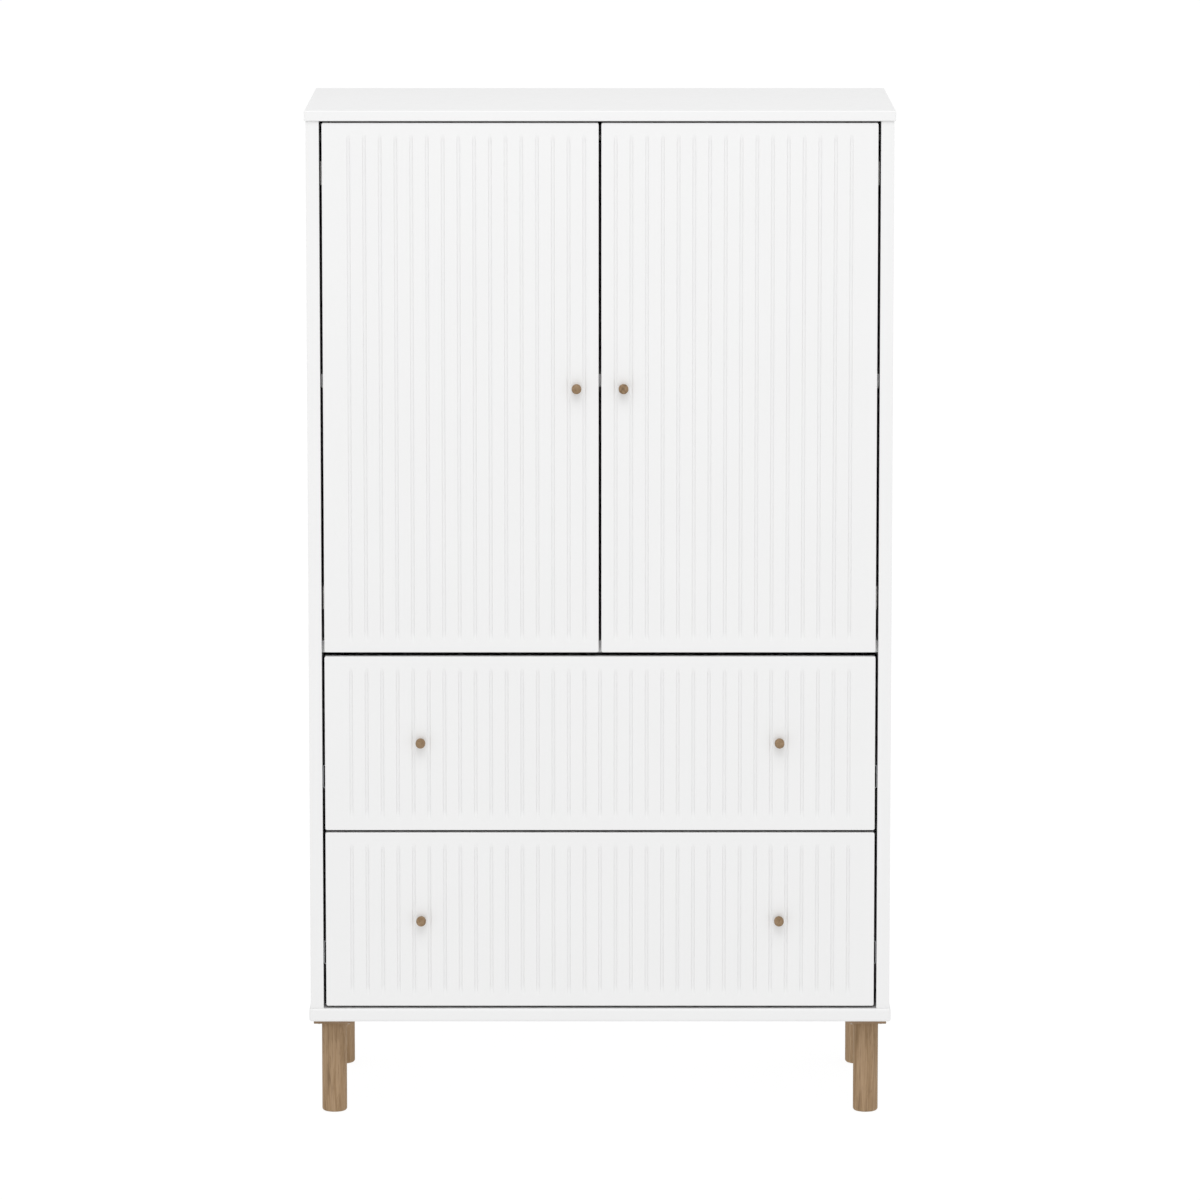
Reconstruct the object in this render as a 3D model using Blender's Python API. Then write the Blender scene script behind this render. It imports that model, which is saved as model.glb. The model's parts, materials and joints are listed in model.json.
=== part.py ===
"""Wardrobe with two inset doors over two drawers, on four round oak legs.

Metres, +Z up. The origin is on the floor under the middle of the whole object,
+X is to the right of someone who faces the doors, and the doors face -Y.
"""

import math

import bmesh
import bpy
from mathutils import Matrix, Vector

# Whole object
WIDTH = 1.128  # top and bottom panels
HEIGHT = 1.958
BODY_WIDTH = 1.122  # over the side panels
BODY_DEPTH = 0.576  # front of the side panels to the back of the back panel
OVERHANG = 0.004  # of the top and bottom panels past the front of the sides
TOUCH = 0.0003  # clearance between pieces that touch

# Panels
SIDE_THICK = 0.025
TOP_THICK = 0.020
BOTTOM_THICK = 0.026
DIVIDER_THICK = 0.0235
SHELF_THICK = 0.0245
BACK_THICK = 0.006
FRONT_THICK = 0.019  # doors and drawer fronts
TOP_EDGE = 0.0022  # radius along the edges of the top panel
BOTTOM_EDGE = 0.005
PANEL_EDGE = 0.001
FRONT_EDGE = 0.0016
BACK_INSET = 0.002  # edges of the back panel from the outer faces of the side panels
DIVIDER_SETBACK = 0.0015  # behind the doors and drawer fronts
SHELF_SETBACK = 0.0035
SHELF_BACK_GAP = 0.003
SHELF_SIDE_GAP = 0.001

# Levels
BOTTOM_Z = 0.1892  # underside of the bottom panel
DRAWER_Z = (0.2200, 0.5661)  # lower edge of each drawer front, lower drawer first
DRAWER_FRONT_HEIGHT = (0.3412, 0.3395)
DOOR_Z = (0.9138, 1.9343)
DIVIDER_Z = 0.9105
SHELF_Z = 1.4260
SIDE_GAP = 0.0052  # beside each door and drawer front, and between the doors

# Grooves in the doors and drawer fronts
GROOVE_PITCH = 0.030
GROOVE_WIDTH = 0.0080
GROOVE_DEPTH = 0.0025
GROOVE_PROUD = 0.0005  # how far a cutter stands out of the face
GROOVE_MARGIN = 0.0215  # from a front's upper or lower edge to a groove's end
GROOVE_TAPER = 0.017  # over which a groove rises out to each end
DOOR_GROOVES = range(1, 17)
DRAWER_GROOVES = range(-16, 17)

# Knobs
KNOB_RADIUS = 0.0093
KNOB_LENGTH = 0.0177
KNOB_ROUND = 0.0018
DOOR_KNOB_X = 0.045
DOOR_KNOB_Z = 1.4255
DRAWER_KNOB_X = 0.3462
DRAWER_KNOB_Z = (0.3891, 0.7380)

# Legs
LEG_RADIUS = 0.0242
LEG_ROUND = 0.0055
LEG_X = 0.518
LEG_SETBACK = 0.065  # from the front of the side panels to the front legs' centres
LEG_SPACING = 0.448  # front legs to back legs
PLATE_SIDE = 0.077
PLATE_THICK = 0.0100

# Concealed hinges. Positions are (inward, back): inward from the middle of the gap
# beside the door, back from the front of the door.
DOOR_AXIS = (0.0080, 0.0058)
LINK_AXIS = (0.0398, 0.0240)
LINK_TIP = (0.0115, 0.0115)
CUP_CENTRE = 0.0230
CUP_RADIUS = 0.0175
CUP_WALL = 0.0012
CUP_DEPTH = 0.0112
CUP_PROUD = 0.0013  # height of the cup's rim above the back of the door
CUP_FLOOR = 0.001
BORE_DEPTH = 0.0115
WING_SIZE = (0.020, 0.0015, 0.016)
WING_OFFSET = 0.0235  # middle of each screw wing from the middle of the cup
NOTCH_SIZE = (0.012, 0.004, 0.012)  # for the link, through the rim of the cup
LINK_THICK = 0.0025
LINK_HALF_HEIGHT = 0.0038
EYE_RADIUS = 0.0030
PIN_RADIUS = 0.0015
HINGE_FROM_END = 0.100  # hinge centres from the door's upper and lower edges

# Hinge arm, in distances inward from the side panel and back from the link's axis
ARM_NEAR = 0.0033
ARM_FAR = 0.012
ARM_FRONT = 0.0125
ARM_CRANK = 0.0215
ARM_REAR = 0.068
ARM_HALF_HEIGHT = 0.0062
NOSE_RADIUS = 0.0040
NOSE_ARC = (110, 240)  # degrees
FORK_RADIUS = 0.009  # of the slot in which the link turns
HINGE_PLATE = (0.004, 0.036, 0.046)
HINGE_PLATE_BACK = 0.040

# Shelf pins and clothes rail
PIN_HOLE_RADIUS = 0.0028
PIN_HOLE_DEPTH = 0.0105
PIN_HEAD_RADIUS = 0.004
PIN_HEAD_LENGTH = 0.008
SHELF_PIN_BACK = (0.060, 0.510)
RAIL_RADIUS = 0.0125
RAIL_WALL = 0.0010
RAIL_DROP = 0.052  # rail centre under the top panel
RAIL_BACK = 0.285
SOCKET_FLANGE = (0.022, 0.003)  # radius and thickness
SOCKET_COLLAR = (0.017, 0.013)
SOCKET_FLOOR = 0.0025
SOCKET_FILLET = 0.001

# Drawer boxes and runners
BOX_CLEARANCE = 0.013  # between a drawer box and the side panel
BOX_THICK = 0.015
BOX_LENGTH = 0.500
BOX_RISE = 0.026  # lower edge of the box above the lower edge of its front
BOX_HEIGHT = 0.255
BOX_BOTTOM_THICK = 0.009
BOX_BOTTOM_RISE = 0.012
RUNNER_LENGTH = 0.495
RUNNER_RISE = 0.075  # runner centre above the lower edge of the box
RUNNER_SHEET = 0.0015
RUNNER_SETBACK = 0.006  # behind the drawer front
# Distance of a runner's web and lips from the side panel, and its half height
CABINET_RUNNER = (TOUCH, 0.0105, 0.0225)
DRAWER_RUNNER = (BOX_CLEARANCE - TOUCH, 0.004, 0.0155)

ROUND_SIDES = 32
SMALL_SIDES = 24  # of pins and their holes
CUT_PAST = 0.002  # how far a cutter runs past the face that it opens

# Derived positions
FRONT_Y = -(BODY_DEPTH + KNOB_LENGTH + TOUCH) / 2 + KNOB_LENGTH + TOUCH
BACK_Y = FRONT_Y + BODY_DEPTH
HALF_OPENING = BODY_WIDTH / 2 - SIDE_THICK
GAP_MIDDLE = HALF_OPENING - SIDE_GAP / 2
TOP_Z = HEIGHT - TOP_THICK
FLOOR_Z = BOTTOM_Z + BOTTOM_THICK  # upper face of the bottom panel
INNER_BACK_Y = BACK_Y - BACK_THICK - TOUCH
BEHIND_FRONTS_Y = FRONT_Y + FRONT_THICK
SIDES = {"left": -1, "right": 1}


def clear_scene():
    for obj in list(bpy.data.objects):
        bpy.data.objects.remove(obj, do_unlink=True)


def make_material(name, colour, roughness, metallic=0.0):
    material = bpy.data.materials.new(name)
    material.use_nodes = True
    shader = material.node_tree.nodes["Principled BSDF"]
    shader.inputs["Base Color"].default_value = (*colour, 1.0)
    shader.inputs["Roughness"].default_value = roughness
    shader.inputs["Metallic"].default_value = metallic
    return material


def axis_empty(name, location):
    """An empty on a joint's axis, which carries the pieces that move together."""
    empty = bpy.data.objects.new(name, None)
    empty.location = location
    empty.empty_display_size = 0.05
    bpy.context.scene.collection.objects.link(empty)
    return empty


def add_object(name, mesh_builder, centre, material, parent=None):
    """Turns a bmesh built around the origin into an object centred on a world position."""
    bmesh.ops.recalc_face_normals(mesh_builder, faces=mesh_builder.faces)
    mesh = bpy.data.meshes.new(name)
    mesh_builder.to_mesh(mesh)
    mesh_builder.free()
    obj = bpy.data.objects.new(name, mesh)
    bpy.context.scene.collection.objects.link(obj)
    obj.location = Vector(centre)
    if material is not None:
        mesh.materials.append(material)
    if parent is not None:
        obj.parent = parent
        obj.location = Vector(centre) - parent.location
    return obj


def add_helper(name, mesh_builder, centre):
    """A shape that a Boolean cuts away or joins on, and that isn't a piece itself."""
    helper = add_object(name, mesh_builder, centre, None)
    helper.hide_render = True
    helper.display_type = "WIRE"
    return helper


def boolean(obj, other, operation="DIFFERENCE"):
    modifier = obj.modifiers.new(other.name, "BOOLEAN")
    modifier.operation = operation
    modifier.solver = "EXACT"
    modifier.object = other


def round_edges(obj, width, segments):
    modifier = obj.modifiers.new("round_edges", "BEVEL")
    modifier.width = width
    modifier.segments = segments
    modifier.limit_method = "ANGLE"


def shade_round(obj):
    obj.data.shade_smooth()
    obj.data.set_sharp_from_angle(angle=math.radians(35))


def box_shape(size):
    shape = bmesh.new()
    bmesh.ops.create_cube(shape, size=1.0, matrix=Matrix.Diagonal((*size, 1.0)))
    return shape


def box_between(name, low, high, material, parent=None, edge=PANEL_EDGE, segments=1):
    low, high = Vector(low), Vector(high)
    obj = add_object(name, box_shape(high - low), (low + high) / 2, material, parent)
    if edge:
        round_edges(obj, edge, segments)
    return obj


def turned_shape(profile, axis="Z", ring=False, sides=ROUND_SIDES):
    """Turns (radius, height) points round an axis. A ring's profile closes on itself."""
    shape = bmesh.new()
    turns = {"X": Matrix.Rotation(math.pi / 2, 4, "Y"), "Y": Matrix.Rotation(-math.pi / 2, 4, "X")}
    angles = [2 * math.pi * i / sides for i in range(sides)]
    loops = []
    for radius, height in profile:
        points = [(radius * math.cos(a), radius * math.sin(a), height) for a in angles]
        loops.append([shape.verts.new(point) for point in points])
    pairs = list(zip(loops, loops[1:]))
    if ring:
        pairs.append((loops[-1], loops[0]))
    for lower, upper in pairs:
        for i in range(sides):
            j = (i + 1) % sides
            shape.faces.new((lower[i], lower[j], upper[j], upper[i]))
    if not ring:
        shape.faces.new(loops[0])
        shape.faces.new(loops[-1])
    bmesh.ops.transform(shape, matrix=turns.get(axis, Matrix()), verts=shape.verts)
    return shape


def turned_outward(profile, sign, sides=ROUND_SIDES):
    """Turns (radius, distance outward) points round the X axis, for the side with this sign."""
    shape = turned_shape(profile, "X", sides=sides)
    if sign < 0:
        bmesh.ops.transform(shape, matrix=Matrix.Rotation(math.pi, 4, "Z"), verts=shape.verts)
    return shape


def arc(centre, radius, start, end, steps):
    """Points round part of a circle, with the angles in degrees."""
    angles = [math.radians(start + (end - start) * i / steps) for i in range(steps + 1)]
    return [(centre[0] + radius * math.cos(a), centre[1] + radius * math.sin(a)) for a in angles]


def extruded_shape(outline, low, high, plane="XY"):
    """Extrudes an outline of (x, y) points along Z, or of (x, z) points along Y."""
    shape = bmesh.new()
    place = (lambda u, v, w: (u, v, w)) if plane == "XY" else (lambda u, v, w: (u, w, v))
    base = shape.faces.new([shape.verts.new(place(u, v, low)) for u, v in outline])
    grown = bmesh.ops.extrude_face_region(shape, geom=[base])
    moved = [item for item in grown["geom"] if isinstance(item, bmesh.types.BMVert)]
    step = Vector(place(0.0, 0.0, high - low))
    bmesh.ops.translate(shape, vec=step, verts=moved)
    return shape


def groove_cutter(name, xs, low, high, face_y):
    """One closed wedge with pointed ends for each groove, standing proud of the face it cuts."""
    half = GROOVE_WIDTH / 2 * (1 + GROOVE_PROUD / GROOVE_DEPTH)
    shape = bmesh.new()
    for x in xs:
        ends = []
        for z in (low + GROOVE_TAPER, high - GROOVE_TAPER):
            points = ((x - half, -GROOVE_PROUD, z), (x + half, -GROOVE_PROUD, z), (x, GROOVE_DEPTH, z))
            ends.append([shape.verts.new(p) for p in points])
        lower, upper = ends
        tips = [shape.verts.new((x, -GROOVE_PROUD, z)) for z in (low, high)]
        for i in range(3):
            j = (i + 1) % 3
            shape.faces.new((lower[i], lower[j], upper[j], upper[i]))
            shape.faces.new((lower[j], lower[i], tips[0]))
            shape.faces.new((upper[i], upper[j], tips[1]))
    return add_helper(name, shape, (0.0, face_y, 0.0))


def front_panel(name, x_low, x_high, z_low, z_high, groove_xs, material, parent):
    """A door or drawer front with its grooves cut in the face."""
    low = (x_low, FRONT_Y, z_low)
    high = (x_high, BEHIND_FRONTS_Y, z_high)
    panel = box_between(name, low, high, material, parent, edge=FRONT_EDGE)
    groove_low = z_low + GROOVE_MARGIN
    groove_high = z_high - GROOVE_MARGIN
    boolean(panel, groove_cutter(name + "_grooves", groove_xs, groove_low, groove_high, FRONT_Y))
    return panel


def knob(name, x, z, material, parent):
    """A turned wooden knob whose base sits on the face."""
    profile = [(KNOB_RADIUS * 0.86, 0.0), (KNOB_RADIUS, KNOB_LENGTH * 0.45)]
    centre = (KNOB_RADIUS - KNOB_ROUND, KNOB_LENGTH - KNOB_ROUND)
    profile += arc(centre, KNOB_ROUND, 0, 90, 2)
    shape = turned_shape(profile, axis="Y")
    bmesh.ops.transform(shape, matrix=Matrix.Rotation(math.pi, 4, "X"), verts=shape.verts)
    obj = add_object(name, shape, (x, FRONT_Y - TOUCH, z), material, parent)
    shade_round(obj)
    return obj


def carcass(lacquer):
    """Top, bottom, sides, divider, back and shelf."""
    half = WIDTH / 2
    top_low = (-half, FRONT_Y - OVERHANG, TOP_Z)
    box_between("top_panel", top_low, (half, BACK_Y, HEIGHT), lacquer, edge=TOP_EDGE, segments=2)
    bottom_low = (-half, FRONT_Y - OVERHANG, BOTTOM_Z)
    bottom_high = (half, BACK_Y, FLOOR_Z)
    box_between("bottom_panel", bottom_low, bottom_high, lacquer, edge=BOTTOM_EDGE, segments=3)
    for side, sign in SIDES.items():
        xs = sorted((sign * HALF_OPENING, sign * BODY_WIDTH / 2))
        low = (xs[0], FRONT_Y, FLOOR_Z + TOUCH)
        high = (xs[1], INNER_BACK_Y, TOP_Z - TOUCH)
        panel = box_between("side_panel_" + side, low, high, lacquer)
        for place, back in zip(("front", "back"), SHELF_PIN_BACK):
            profile = [(PIN_HOLE_RADIUS, -CUT_PAST), (PIN_HOLE_RADIUS, PIN_HOLE_DEPTH)]
            shape = turned_outward(profile, sign, SMALL_SIDES)
            centre = (sign * HALF_OPENING, FRONT_Y + back, SHELF_Z - TOUCH - PIN_HEAD_RADIUS)
            boolean(panel, add_helper(f"pin_hole_{place}_{side}", shape, centre))
    inner = HALF_OPENING - TOUCH
    divider_low = (-inner, BEHIND_FRONTS_Y + DIVIDER_SETBACK, DIVIDER_Z)
    divider_high = (inner, INNER_BACK_Y, DIVIDER_Z + DIVIDER_THICK)
    box_between("divider_panel", divider_low, divider_high, lacquer)
    back_half = BODY_WIDTH / 2 - BACK_INSET
    back_low = (-back_half, BACK_Y - BACK_THICK, FLOOR_Z + TOUCH)
    box_between("back_panel", back_low, (back_half, BACK_Y, TOP_Z - TOUCH), lacquer, edge=0.0)
    shelf_half = HALF_OPENING - SHELF_SIDE_GAP
    shelf_low = (-shelf_half, BEHIND_FRONTS_Y + SHELF_SETBACK, SHELF_Z)
    shelf_high = (shelf_half, INNER_BACK_Y - SHELF_BACK_GAP, SHELF_Z + SHELF_THICK)
    box_between("shelf", shelf_low, shelf_high, lacquer)


def shelf_pins(steel):
    """Pins whose shanks sit in the side panels and whose heads carry the shelf."""
    shank = PIN_HOLE_RADIUS - TOUCH
    profile = [(shank, PIN_HOLE_DEPTH - TOUCH), (shank, -TOUCH)]
    profile += [(PIN_HEAD_RADIUS, -TOUCH), (PIN_HEAD_RADIUS, -PIN_HEAD_LENGTH)]
    for side, sign in SIDES.items():
        for place, back in zip(("front", "back"), SHELF_PIN_BACK):
            shape = turned_outward(profile, sign, SMALL_SIDES)
            centre = (sign * HALF_OPENING, FRONT_Y + back, SHELF_Z - TOUCH - PIN_HEAD_RADIUS)
            shade_round(add_object(f"shelf_pin_{place}_{side}", shape, centre, steel))


def clothes_rail(steel):
    """A tube under the top panel, held in a socket on each side panel."""
    z = TOP_Z - RAIL_DROP
    y = FRONT_Y + RAIL_BACK
    half = HALF_OPENING - SOCKET_FLOOR - TOUCH
    inner = RAIL_RADIUS - RAIL_WALL
    tube = [(RAIL_RADIUS, -half), (RAIL_RADIUS, half), (inner, half), (inner, -half)]
    shade_round(add_object("clothes_rail", turned_shape(tube, "X", ring=True), (0.0, y, z), steel))
    bore = RAIL_RADIUS + TOUCH
    flange, flange_thick = SOCKET_FLANGE
    collar, collar_length = SOCKET_COLLAR
    profile = [(flange, -TOUCH), (flange, -flange_thick), (collar, -flange_thick - SOCKET_FILLET)]
    profile += [(collar, -collar_length), (bore, -collar_length), (bore, -SOCKET_FLOOR)]
    for side, sign in SIDES.items():
        centre = (sign * HALF_OPENING, y, z)
        shade_round(add_object("rail_socket_" + side, turned_outward(profile, sign), centre, steel))


def legs(oak):
    """Round legs with a rounded foot, each under a square mounting plate."""
    top = BOTTOM_Z - PLATE_THICK - 2 * TOUCH
    foot = arc((LEG_RADIUS - LEG_ROUND, LEG_ROUND), LEG_ROUND, -90, 0, 3)
    for place, back in (("front", LEG_SETBACK), ("back", LEG_SETBACK + LEG_SPACING)):
        for side, sign in SIDES.items():
            x, y = sign * LEG_X, FRONT_Y + back
            shape = turned_shape(foot + [(LEG_RADIUS, top)])
            shade_round(add_object(f"leg_{place}_{side}", shape, (x, y, 0.0), oak))
            half = PLATE_SIDE / 2
            low = (x - half, y - half, top + TOUCH)
            high = (x + half, y + half, BOTTOM_Z - TOUCH)
            box_between(f"leg_plate_{place}_{side}", low, high, oak)


def hinge_point(sign, inward, back):
    return sign * (GAP_MIDDLE - inward), FRONT_Y + back


def hinge_heights():
    return {"lower": DOOR_Z[0] + HINGE_FROM_END, "upper": DOOR_Z[1] - HINGE_FROM_END}


def bore_cutter(name, sign, z):
    """The round recess for a hinge cup, cut from the back of the door."""
    radius = CUP_RADIUS + TOUCH
    shape = turned_shape([(radius, -BORE_DEPTH), (radius, CUT_PAST)], "Y")
    x, y = hinge_point(sign, CUP_CENTRE, FRONT_THICK)
    return add_helper(name, shape, (x, y, z))


def hinge_cup(name, sign, z, steel, parent):
    """A cup in the door with two screw wings and a notch for the link."""
    inner = CUP_RADIUS - CUP_WALL
    profile = [(CUP_RADIUS, -CUP_DEPTH), (CUP_RADIUS, CUP_PROUD)]
    profile += [(inner, CUP_PROUD), (inner, CUP_FLOOR - CUP_DEPTH)]
    x, y = hinge_point(sign, CUP_CENTRE, FRONT_THICK)
    cup = add_object(name, turned_shape(profile, "Y"), (x, y, z), steel, parent)
    wing_y = y + TOUCH + WING_SIZE[1] / 2
    for end in (-1, 1):
        centre = (x, wing_y, z + end * WING_OFFSET)
        boolean(cup, add_helper(f"{name}_wing_{end}", box_shape(WING_SIZE), centre), "UNION")
    notch_y = y - TOUCH + NOTCH_SIZE[1] / 2
    centre = (x + sign * CUP_RADIUS, notch_y, z)
    boolean(cup, add_helper(name + "_notch", box_shape(NOTCH_SIZE), centre))
    shade_round(cup)


def link_outline(sign):
    """A round eye on the link's axis and a straight bar to its rounded tip."""
    tip = (LINK_AXIS[0] - LINK_TIP[0], LINK_TIP[1] - LINK_AXIS[1])
    length = math.hypot(*tip)
    lean = math.atan2(tip[1], tip[0])
    half = LINK_THICK / 2
    open_angle = math.degrees(math.asin(half / EYE_RADIUS))
    points = arc((0.0, 0.0), EYE_RADIUS, open_angle, 360 - open_angle, 20)
    points += arc((length - half, 0.0), half, -90, 90, 6)
    turn = Matrix.Rotation(lean, 2)
    turned = [turn @ Vector(point) for point in points]
    return [(sign * u, v) for u, v in turned]


def hinge_link(name, sign, z, steel, parent):
    x, y = hinge_point(sign, *LINK_AXIS)
    shape = extruded_shape(link_outline(sign), -LINK_HALF_HEIGHT, LINK_HALF_HEIGHT)
    link = add_object(name, shape, (x, y, z), steel, parent)
    hole = PIN_RADIUS + TOUCH
    reach = LINK_HALF_HEIGHT + CUT_PAST
    cutter = turned_shape([(hole, -reach), (hole, reach)], sides=SMALL_SIDES)
    boolean(link, add_helper(name + "_hole", cutter, (x, y, z)))
    shade_round(link)


def arm_outline(sign):
    """Seen from above, about the link's axis: a long flat arm cranked out to a round nose."""
    side_face = LINK_AXIS[0] + SIDE_GAP / 2
    near, far = side_face - ARM_NEAR, side_face - ARM_FAR
    points = [(near, ARM_FRONT), (near, ARM_REAR), (far, ARM_REAR), (far, ARM_CRANK)]
    points += arc((0.0, 0.0), NOSE_RADIUS, *NOSE_ARC, 10)
    throat = (NOSE_RADIUS * 2.5, NOSE_RADIUS * 0.1)
    shoulder = (far + 0.002, ARM_FRONT / 2)
    points += [throat, shoulder]
    return [(sign * u, v) for u, v in points]


def hinge_arm(name, sign, z, steel):
    """The arm and its mounting plate on the side panel, with a fork and pin for the link."""
    x, y = hinge_point(sign, *LINK_AXIS)
    outline = arm_outline(sign)
    arm = add_object(name, extruded_shape(outline, -ARM_HALF_HEIGHT, ARM_HALF_HEIGHT), (x, y, z), steel)
    slot_half = LINK_HALF_HEIGHT + TOUCH
    slot = turned_shape([(FORK_RADIUS, -slot_half), (FORK_RADIUS, slot_half)])
    boolean(arm, add_helper(name + "_slot", slot, (x, y, z)))
    ends = [(PIN_RADIUS, -ARM_HALF_HEIGHT), (PIN_RADIUS, ARM_HALF_HEIGHT)]
    pin = turned_shape(ends, sides=SMALL_SIDES)
    boolean(arm, add_helper(name + "_pin", pin, (x, y, z)), "UNION")
    plate_x = sign * (HALF_OPENING - TOUCH - HINGE_PLATE[0] / 2)
    centre = (plate_x, y + HINGE_PLATE_BACK, z)
    boolean(arm, add_helper(name + "_plate", box_shape(HINGE_PLATE), centre), "UNION")
    shade_round(arm)


def doors(lacquer, oak, steel):
    """Each door with its knob and cups, its hinge links, and the arms on the carcass."""
    for side, sign in SIDES.items():
        x, y = hinge_point(sign, *DOOR_AXIS)
        axis = axis_empty(f"door_{side}_axis", (x, y, DOOR_Z[0]))
        xs = sorted((sign * SIDE_GAP / 2, sign * (HALF_OPENING - SIDE_GAP)))
        grooves = [sign * GROOVE_PITCH * n for n in DOOR_GROOVES]
        door = front_panel("door_" + side, *xs, *DOOR_Z, grooves, lacquer, axis)
        knob(f"door_{side}_knob", sign * DOOR_KNOB_X, DOOR_KNOB_Z, oak, axis)
        x, y = hinge_point(sign, *LINK_AXIS)
        link_axis = axis_empty(f"hinge_links_{side}_axis", (x, y, DOOR_Z[0]))
        for level, z in hinge_heights().items():
            boolean(door, bore_cutter(f"cup_bore_{level}_{side}", sign, z))
            hinge_cup(f"hinge_cup_{level}_{side}", sign, z, steel, axis)
            hinge_link(f"hinge_link_{level}_{side}", sign, z, steel, link_axis)
            hinge_arm(f"hinge_arm_{level}_{side}", sign, z, steel)


def channel_outline(web, lip, half_height, sign):
    """A U section: the web at one distance from the side panel, the flanges ending at another."""
    t = RUNNER_SHEET if lip > web else -RUNNER_SHEET
    rim = [(web, -half_height), (lip, -half_height), (lip, -half_height + RUNNER_SHEET)]
    rim += [(web + t, -half_height + RUNNER_SHEET), (web + t, half_height - RUNNER_SHEET)]
    rim += [(lip, half_height - RUNNER_SHEET), (lip, half_height), (web, half_height)]
    return [(sign * (HALF_OPENING - u), v) for u, v in rim]


def runners(level, box_z, steel, drawer_axis):
    """On each side, a channel on the carcass and a smaller one inside it on the drawer."""
    y_low = BEHIND_FRONTS_Y + RUNNER_SETBACK
    y_high = y_low + RUNNER_LENGTH
    centre = (0.0, 0.0, box_z + RUNNER_RISE)
    for side, sign in SIDES.items():
        shape = extruded_shape(channel_outline(*CABINET_RUNNER, sign), y_low, y_high, plane="XZ")
        add_object(f"cabinet_runner_{level}_{side}", shape, centre, steel)
        shape = extruded_shape(channel_outline(*DRAWER_RUNNER, sign), y_low, y_high, plane="XZ")
        add_object(f"drawer_{level}_runner_{side}", shape, centre, steel, drawer_axis)


def drawer(level, z_low, height, knob_z, lacquer, liner, oak, steel):
    """A grooved front with two knobs, and a four-sided box behind it."""
    name = "drawer_" + level
    axis = axis_empty(name + "_axis", (0.0, BEHIND_FRONTS_Y, z_low + height / 2))
    half_front = HALF_OPENING - SIDE_GAP
    grooves = [GROOVE_PITCH * n for n in DRAWER_GROOVES]
    front_panel(name + "_front", -half_front, half_front, z_low, z_low + height, grooves, lacquer, axis)
    y_low = BEHIND_FRONTS_Y + TOUCH
    y_high = y_low + BOX_LENGTH
    box_z = z_low + BOX_RISE
    outer = HALF_OPENING - BOX_CLEARANCE
    inner = outer - BOX_THICK
    for side, sign in SIDES.items():
        xs = sorted((sign * inner, sign * outer))
        low, high = (xs[0], y_low, box_z), (xs[1], y_high, box_z + BOX_HEIGHT)
        box_between(f"{name}_side_{side}", low, high, liner, axis)
        knob(f"{name}_knob_{side}", sign * DRAWER_KNOB_X, knob_z, oak, axis)
    between = inner - TOUCH
    back_low = (-between, y_high - BOX_THICK, box_z)
    box_between(name + "_back", back_low, (between, y_high, box_z + BOX_HEIGHT), liner, axis)
    bottom_low = (-between, y_low, box_z + BOX_BOTTOM_RISE)
    bottom_high = (between, y_high - BOX_THICK - TOUCH, box_z + BOX_BOTTOM_RISE + BOX_BOTTOM_THICK)
    box_between(name + "_bottom", bottom_low, bottom_high, liner, axis, edge=0.0)
    runners(level, box_z, steel, axis)


def main():
    clear_scene()
    lacquer = make_material("lacquer", (0.90, 0.90, 0.89), 0.38)
    liner = make_material("liner", (0.84, 0.84, 0.83), 0.55)
    oak = make_material("oak", (0.42, 0.29, 0.18), 0.55)
    nickel = make_material("nickel", (0.62, 0.61, 0.59), 0.30, metallic=1.0)
    zinc = make_material("zinc", (0.55, 0.56, 0.58), 0.42, metallic=1.0)
    carcass(lacquer)
    shelf_pins(nickel)
    clothes_rail(nickel)
    legs(oak)
    doors(lacquer, oak, nickel)
    levels = zip(("lower", "upper"), DRAWER_Z, DRAWER_FRONT_HEIGHT, DRAWER_KNOB_Z)
    for level, z_low, height, knob_z in levels:
        drawer(level, z_low, height, knob_z, lacquer, liner, oak, zinc)


main()
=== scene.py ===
"""Looks of a white wardrobe with grooved doors and drawer fronts, on four oak legs.

Metres, +Z up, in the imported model's frame, with the doors facing -Y. Places and outer
sizes come from the frame; the constants below are details that the frame doesn't hold.
"""

import json
import math

import bmesh
import bpy
from mathutils import Matrix, Vector


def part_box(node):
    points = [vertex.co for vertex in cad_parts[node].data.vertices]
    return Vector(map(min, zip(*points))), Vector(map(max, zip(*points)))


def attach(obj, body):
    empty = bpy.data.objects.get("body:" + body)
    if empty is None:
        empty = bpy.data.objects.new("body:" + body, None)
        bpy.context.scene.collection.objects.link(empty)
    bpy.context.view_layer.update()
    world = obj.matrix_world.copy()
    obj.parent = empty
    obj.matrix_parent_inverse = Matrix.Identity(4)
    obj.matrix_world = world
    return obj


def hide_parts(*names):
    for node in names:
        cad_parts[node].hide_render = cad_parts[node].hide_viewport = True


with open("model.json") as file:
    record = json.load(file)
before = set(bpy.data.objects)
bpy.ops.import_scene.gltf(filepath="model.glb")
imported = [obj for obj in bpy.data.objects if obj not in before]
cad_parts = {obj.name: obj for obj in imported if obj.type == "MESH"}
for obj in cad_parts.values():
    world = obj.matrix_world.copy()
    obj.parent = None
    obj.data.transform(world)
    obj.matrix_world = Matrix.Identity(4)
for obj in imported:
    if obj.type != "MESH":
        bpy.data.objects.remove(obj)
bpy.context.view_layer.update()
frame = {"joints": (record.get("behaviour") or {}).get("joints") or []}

SIDES = {"left": -1, "right": 1}
LEVELS = ("lower", "upper")
SMOOTH_ANGLE = 35  # degrees between faces, above which an edge stays sharp
ROUND_SIDES = 72
SCREW_SIDES = 28
DISC_SIDES = 40
SMALL_SIDES = 32
CUP_SIDES = 48
CUT_CLEAR = 0.004  # how far a cutter stands out of what it cuts

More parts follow.
